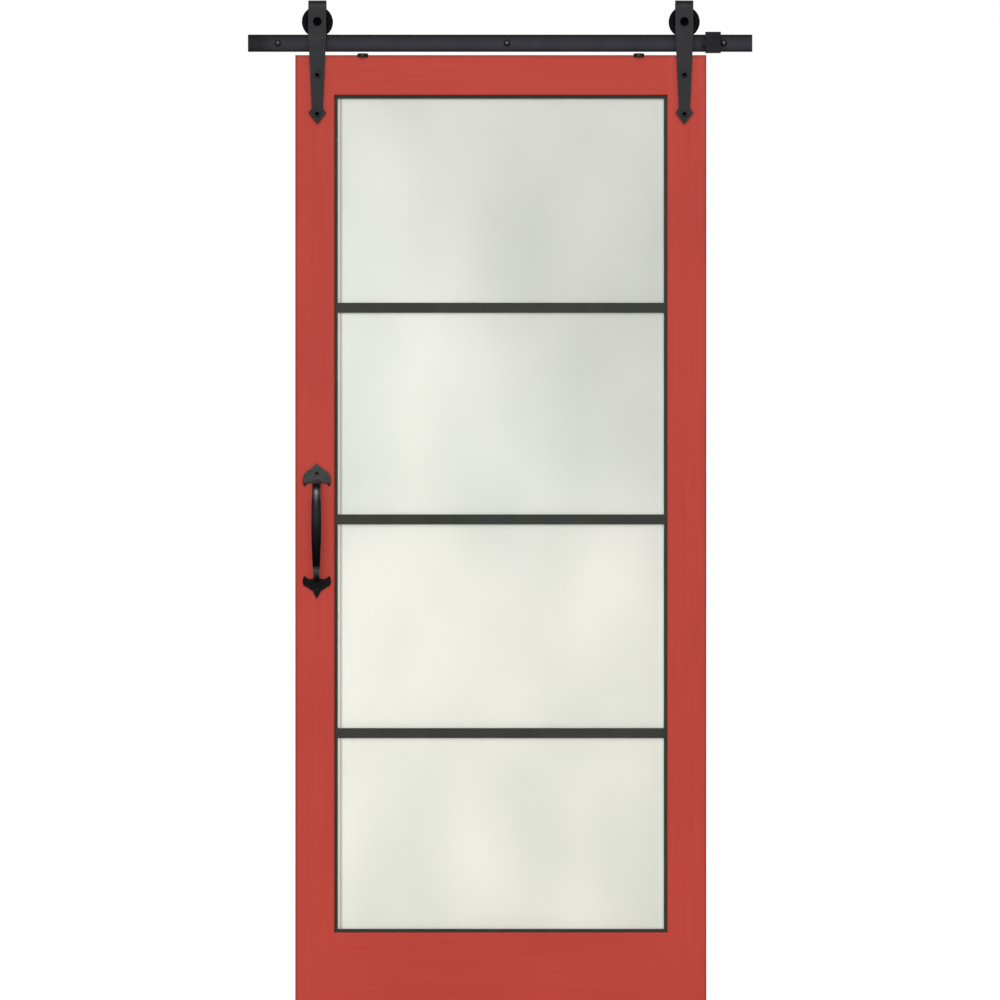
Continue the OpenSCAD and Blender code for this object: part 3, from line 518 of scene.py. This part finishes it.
# distance from a hexagon's middle to its edge at an angle, with flats to left and right
def hexRadius(flatMm, angle):
    return flatMm / math.cos((angle + math.pi / 6) % (math.pi / 3) - math.pi / 6)


# lag screws: domed hexagon head, plain shank, coarse thread that runs out at a gimlet point
lagScrew = {
    "acrossFlatsMm": 13, "domeMm": screwDomeMm,
    "domeShares": (0.06, 0.2, 0.36, 0.52, 0.68, 0.84, 0.94, 1.04, 1.16),
    "shankMm": 4, "shankEndMm": -1, "crestMm": 3.9, "rootMm": 2.9, "pitchMm": 3.2, "crestShare": 0.42,
    "crestFlat": 1.6, "pointMm": 8, "tipMm": 0.4, "sides": 48, "stepMm": 0.3, "smoothDeg": 32,
}


def lagScrewRings(spec, x):
    turns = ringAngles(spec["sides"])
    flat = spec["acrossFlatsMm"] / 2

    def ring(y, radii):
        return [(x + r * math.cos(t), y, r * math.sin(t)) for t, r in zip(turns, radii)]

    hexRadii = [hexRadius(flat, t) for t in turns]
    front, face, end = screwLow.y / mm, railLow.y / mm, screwHigh.y / mm
    rings = []
    for share in spec["domeShares"]:
        rings.append(ring(front + spec["domeMm"] * share ** 2, [min(r, flat * share) for r in hexRadii]))
    rings.append(ring(face, hexRadii))
    for y in (face, spec["shankEndMm"]):
        rings.append(ring(y, [spec["shankMm"]] * spec["sides"]))
    steps = round(end / spec["stepMm"])
    for i in range(steps + 1):
        y = end * i / steps
        taper = min(1, (end - y + spec["tipMm"]) / spec["pointMm"])
        runIn = min(1, y / spec["pitchMm"])
        root = spec["shankMm"] + (spec["rootMm"] - spec["shankMm"]) * runIn
        radii = []
        for t in turns:
            phase = (y / spec["pitchMm"] - t / (2 * math.pi)) % 1
            ridge = max(0, 1 - abs(phase - 0.5) / (spec["crestShare"] / 2))
            radii.append(taper * (root + (spec["crestMm"] - root) * min(1, spec["crestFlat"] * ridge)))
        rings.append(ring(y, radii))
    return rings


outerMm = mounts["wall_bolts"]["dims"]["spacing_x_mm"] / 2
middleMm = mounts["middle_screw"]["pos_m"][0] / mm
work = bmesh.new()
for x in (-outerMm, middleMm, outerMm):
    skinRings(work, lagScrewRings(lagScrew, x))
lagScrews = newPiece("lagScrews", work, (0, 0, 0), "oxideSteelPaintedHighlight")
lagScrews.data.shade_smooth()
lagScrews.data.set_sharp_from_angle(angle=math.radians(lagScrew["smoothDeg"]))
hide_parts("lag_screws")
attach(lagScrews, "track")
print("lag screws threaded:", len(lagScrews.data.polygons), "faces")


# strap bolts: low button heads coated with the strap, and a hexagon socket with a drill point in each, its
# faces painted near black as shade in the recess
strapBolt = {
    "headMm": 7.2, "highMm": 3.6, "crownMm": 1.6, "crownShares": (0, 0.3, 0.6, 0.85, 1),
    "socketFlatsMm": 8.2, "socketDeepMm": 3, "drillPointMm": 2.4, "drillTipShare": 0.1,
    "shankMm": 4, "shankLongMm": 6, "sides": 48, "smoothDeg": 40,
}


def strapBoltRings(spec, x, z):
    turns = ringAngles(spec["sides"])
    seat = strapLow.y / mm
    front = seat - spec["highMm"]
    head, crown = spec["headMm"], spec["crownMm"]
    profile = [(seat + spec["shankLongMm"], spec["shankMm"]), (seat, spec["shankMm"]), (seat, head)]
    for share in spec["crownShares"]:
        profile.append((front + crown * (1 - share), head - crown + crown * math.sqrt(1 - share ** 2)))
    rings = [[(x + r * math.cos(t), y, z + r * math.sin(t)) for t in turns] for y, r in profile]
    socket = [hexRadius(spec["socketFlatsMm"] / 2, t) for t in turns]
    bottom = front + spec["socketDeepMm"]
    for y, share in ((front, 1), (bottom, 1), (bottom + spec["drillPointMm"], spec["drillTipShare"])):
        rings.append([(x + share * r * math.cos(t), y, z + share * r * math.sin(t))
                      for t, r in zip(turns, socket)])
    return rings


socketRings = 3
strapMm = (strapLow.x + strapHigh.x) / 2 / mm
work = bmesh.new()
for x in (-strapMm, strapMm):
    for z in (boltHigh.z / mm - strapBolt["headMm"], boltLow.z / mm + strapBolt["headMm"]):
        rings = strapBoltRings(strapBolt, x, z)
        skinRings(work, rings, len(rings) - socketRings)
# the sockets' faces take the near-black finish as painted shade
strapBolts = newPiece("strapBolts", work, (0, 0, 0), "powderCoatSteel", "phosphatedSteelAndSocketShade")
strapBolts.data.shade_smooth()
strapBolts.data.set_sharp_from_angle(angle=math.radians(strapBolt["smoothDeg"]))
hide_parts("strap_bolts")
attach(strapBolts, "leaf")
print("strap bolts turned:", len(strapBolts.data.polygons), "faces")


# cast pull: a broad spade above, a slim one below, and a bowed grip that tapers towards its foot;
# a plate's points are x and z from its tip, and its circles x, z and radius
castPull = {
    "plateThickMm": 4.5, "plateLengthMm": 44.1, "arcStepMm": 0.8, "arcFewest": 4,
    "topPointMm": ((0, 1.6), (12.9, -9.8), (25.5, -18), (30.2, -26.5)),
    "footPointMm": ((0, 2.4), (3.2, -4.2), (7.6, -11.5), (9.2, -16.4)),
    "wingMm": (11.025, -36.98, 20.475), "notchMm": (14.49, -55.5, 13.99), "flankMm": (54.1, 30.5, 63),
    "gripHalfMm": 110.07, "gripBowMm": 42, "gripRiseMm": 1.5, "gripWidthMm": 22, "gripSquare": 0.6,
    "gripTopShare": 0.8, "gripFootShare": 0.56, "gripThickShare": 0.55, "gripRings": 140, "gripSides": 48,
    "screwInMm": 21, "screwHeadMm": 4.4, "screwHoleMm": 2.4, "screwSinkMm": 2.6, "screwSides": 40,
    "overrunMm": 1, "castGrainMm": 0.6, "softening": 6, "softenShare": 0.5,
}


# points where two circles cross
def crossings(a, b):
    dx, dz = b[0] - a[0], b[1] - a[1]
    gap = math.hypot(dx, dz)
    along = (a[2] ** 2 - b[2] ** 2 + gap ** 2) / (2 * gap)
    off = math.sqrt(a[2] ** 2 - along ** 2)
    midX, midZ = a[0] + dx * along / gap, a[1] + dz * along / gap
    return [(midX - side * dz * off / gap, midZ + side * dx * off / gap) for side in (1, -1)]


# points along a circle from one place on it to another, the way that the sign says
def arcBetween(circle, start, end, way):
    first = math.atan2(start[1] - circle[1], start[0] - circle[0])
    last = math.atan2(end[1] - circle[1], end[0] - circle[0])
    sweep = (last - first) * way % (2 * math.pi) * way
    count = max(castPull["arcFewest"], int(abs(sweep) * circle[2] / castPull["arcStepMm"]))
    angles = [first + sweep * i / count for i in range(count + 1)]
    return [(circle[0] + circle[2] * math.cos(a), circle[1] + circle[2] * math.sin(a)) for a in angles]


# closed outline of an end plate, its point at the origin and its wings below
def plateOutline(spec, slim):
    wing, notch, flank = spec["wingMm"], spec["notchMm"], spec["flankMm"]
    tip = max(crossings(wing, notch))
    rootZ = -spec["plateLengthMm"]
    inner = (notch[0] - math.sqrt(notch[2] ** 2 - (notch[1] - rootZ) ** 2), rootZ)
    if slim:
        shoulder = max(crossings(wing, flank))
        neck = min(crossings(wing, flank))
        half = list(spec["footPointMm"]) + arcBetween(flank, neck, shoulder, 1)
    else:
        shoulder = (wing[0] + wing[2], wing[1])
        half = list(spec["topPointMm"])
    half += arcBetween(wing, shoulder, tip, -1)
    half += arcBetween(notch, tip, inner, 1)
    half.append((0, rootZ))
    return half + [(-x, z) for x, z in half[-2:0:-1]]


# upright prism of an outline in X and Z, from y0 to y1
def prism(work, outline, y0, y1):
    front = [work.verts.new((x, y0, z)) for x, z in outline]
    back = [work.verts.new((x, y1, z)) for x, z in outline]
    count = len(outline)
    work.faces.new(front)
    work.faces.new(back[::-1])
    for i in range(count):
        k = (i + 1) % count
        work.faces.new((front[i], back[i], back[k], front[k]))


# place of the grip's middle line in Y and Z at an angle from its top end
def gripLine(spec, angle):
    square = spec["gripSquare"]
    out = -spec["gripBowMm"] * abs(math.sin(angle)) ** square - spec["gripRiseMm"]
    up = spec["gripHalfMm"] * math.copysign(abs(math.cos(angle)) ** square, math.cos(angle))
    return out, up


# oval section of the grip at an angle, square to its middle line
def gripRing(spec, angle):
    step = math.pi / spec["gripRings"]
    out, up = gripLine(spec, angle)
    out0, up0 = gripLine(spec, max(angle - step, 0))
    out1, up1 = gripLine(spec, min(angle + step, math.pi))
    size = math.hypot(out1 - out0, up1 - up0)
    ty, tz = (out1 - out0) / size, (up1 - up0) / size
    share = (up / spec["gripHalfMm"] + 1) / 2
    top, foot = spec["gripTopShare"], spec["gripFootShare"]
    full = foot + (top - foot) * share + (1 - (top + foot) / 2) * math.sin(math.pi * share)
    half = spec["gripWidthMm"] * full / 2
    thick = half * spec["gripThickShare"]
    return [(half * math.cos(t), out - tz * thick * math.sin(t), up + ty * thick * math.sin(t))
            for t in ringAngles(spec["gripSides"])]


pullPlace = Vector(((pullLow.x + pullHigh.x) / 2, pullHigh.y, (pullLow.z + pullHigh.z) / 2))
pullHalf = (pullHigh.z - pullLow.z) / 2 / mm
plateFront = -castPull["plateThickMm"]
work = bmesh.new()
prism(work, [(x, pullHalf + z) for x, z in plateOutline(castPull, False)], plateFront, 0)
prism(work, [(x, -pullHalf - z) for x, z in plateOutline(castPull, True)], plateFront, 0)
castPlates = newPiece("castPlates", work, pullPlace, "lacqueredIron")

# countersunk holes through both plates
work = bmesh.new()
for side in (-1, 1):
    z = side * (pullHalf - castPull["screwInMm"])
    profile = (
        (plateFront - castPull["overrunMm"], castPull["screwHeadMm"]),
        (plateFront, castPull["screwHeadMm"]),
        (plateFront + castPull["screwSinkMm"], castPull["screwHoleMm"]),
        (castPull["overrunMm"], castPull["screwHoleMm"]),
    )
    turns = ringAngles(castPull["screwSides"])
    skinRings(work, [[(r * math.cos(t), y, z + r * math.sin(t)) for t in turns] for y, r in profile])
screwHoles = newPiece("screwHoles", work, pullPlace, "lacqueredIron")

work = bmesh.new()
angles = [math.pi * i / castPull["gripRings"] for i in range(castPull["gripRings"] + 1)]
skinRings(work, [gripRing(castPull, a) for a in angles])
castGrip = newPiece("castGrip", work, pullPlace, "lacqueredIron")

# plates and grip joined, drilled, and softened as a casting
for name, operation, other in (("grip", "UNION", castGrip), ("holes", "DIFFERENCE", screwHoles)):
    cutter = castPlates.modifiers.new(name, "BOOLEAN")
    cutter.operation = operation
    cutter.object = other
    cutter.solver = "EXACT"
skin = castPlates.modifiers.new("castSkin", "REMESH")
skin.mode = "VOXEL"
skin.voxel_size = castPull["castGrainMm"] * mm
skin.use_smooth_shade = True
soften = castPlates.modifiers.new("soften", "SMOOTH")
soften.factor = castPull["softenShare"]
soften.iterations = castPull["softening"]
settled = castPlates.evaluated_get(bpy.context.evaluated_depsgraph_get())
pullMesh = bpy.data.meshes.new_from_object(settled)
pullMesh.name = "castPull"
pull = bpy.data.objects.new("castPull", pullMesh)
scene.collection.objects.link(pull)
for scrap in (castPlates, castGrip, screwHoles):
    bpy.data.objects.remove(scrap)
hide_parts("pull_handle")
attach(pull, "leaf")
print("pull cast:", len(pull.data.polygons), "faces")

# stage: a wide pale floor that reads as white, like the backdrop, and throws less light than it seems to
stageSet = {
    "floorHalfM": 45, "floorTone": "#BDBDBB", "floorRough": 0.9, "floorGlow": 0.68, "floorLight": 0.35,
    "skyStrength": 1.5, "skyStops": ((0, 1), (0.2, 0.6), (0.5, 0.03), (0.8, 0.49), (1, 0.78)),
    "keyFrom": (-0.08, -0.86, 0.5), "keyDeg": 36, "keyStrength": 1.35,
}
work = bmesh.new()
bmesh.ops.create_grid(work, x_segments=1, y_segments=1, size=stageSet["floorHalfM"])
bmesh.ops.translate(work, vec=(0, 0, cadLow.z), verts=work.verts)
floorMesh = bpy.data.meshes.new("studioFloor")
work.to_mesh(floorMesh)
work.free()
floor = bpy.data.objects.new("studioFloor", floorMesh)
scene.collection.objects.link(floor)
paper = bpy.data.materials.new("seamlessPaper")
paper.use_nodes = True
paperShader = paper.node_tree.nodes["Principled BSDF"]
paperShader.inputs["Base Color"].default_value = linear(stageSet["floorTone"])
paperShader.inputs["Roughness"].default_value = stageSet["floorRough"]
paperShader.inputs["Specular IOR Level"].default_value = 0.0
paperShader.inputs["Emission Color"].default_value = grey(1)
sight = addNode(paper.node_tree, "ShaderNodeLightPath")
glow = addNode(paper.node_tree, "ShaderNodeMapRange",
               {"To Min": stageSet["floorLight"], "To Max": stageSet["floorGlow"]},
               {"Value": sight.outputs["Is Camera Ray"]})
paper.node_tree.links.new(glow.outputs["Result"], paperShader.inputs["Emission Strength"])
floorMesh.materials.append(paper)

# broad soft light ahead of the leaf, less behind it, hardly any from the sides, and a white backdrop
world = bpy.data.worlds.new("studio")
scene.world = world
world.use_nodes = True
sky = world.node_tree
sky.nodes.clear()
rays = addNode(sky, "ShaderNodeLightPath")
way = addNode(sky, "ShaderNodeTexCoord")
axes = addNode(sky, "ShaderNodeSeparateXYZ", None, {0: way.outputs["Generated"]})
depth = addNode(sky, "ShaderNodeMapRange", {"From Min": -1.0, "From Max": 1.0},
                {"Value": axes.outputs["Y"]})
skyStops = [(place, grey(share)) for place, share in stageSet["skyStops"]]
level = addNode(sky, "ShaderNodeValToRGB", {"stops": skyStops}, {"Fac": depth.outputs["Result"]})
around = addNode(sky, "ShaderNodeBackground", {"Strength": stageSet["skyStrength"]},
                 {"Color": level.outputs["Color"]})
behind = addNode(sky, "ShaderNodeBackground", {"Color": grey(1), "Strength": 1.0})
either = addNode(sky, "ShaderNodeMixShader", None,
                 {0: rays.outputs["Is Camera Ray"], 1: around.outputs[0], 2: behind.outputs[0]})
addNode(sky, "ShaderNodeOutputWorld", None, {"Surface": either.outputs[0]})

# soft key from ahead and above
keyData = bpy.data.lights.new("softKey", "SUN")
keyData.angle = math.radians(stageSet["keyDeg"])
keyData.energy = stageSet["keyStrength"]
key = bpy.data.objects.new("softKey", keyData)
scene.collection.objects.link(key)
key.rotation_euler = (-Vector(stageSet["keyFrom"])).to_track_quat("-Z", "Y").to_euler()

# long lens square to the leaf, with the width of the view taken at the leaf's face
shot = {
    "lensMm": 200, "sensorMm": 36, "clipM": 200,
    "frameWidthM": 2.2232, "centreX": -0.0018, "centreZ": -1.0163,
}
cameraData = bpy.data.cameras.new("photoCamera")
cameraData.lens = shot["lensMm"]
cameraData.sensor_width = shot["sensorMm"]
cameraData.clip_end = shot["clipM"]
camera = bpy.data.objects.new("photoCamera", cameraData)
scene.collection.objects.link(camera)
reach = shot["frameWidthM"] * shot["lensMm"] / shot["sensorMm"]
camera.location = (shot["centreX"], leafLow.y - reach, shot["centreZ"])
camera.rotation_euler = (quarterTurn, 0, 0)
scene.camera = camera
scene.view_settings.view_transform = "Standard"
print("stage, light and camera set")
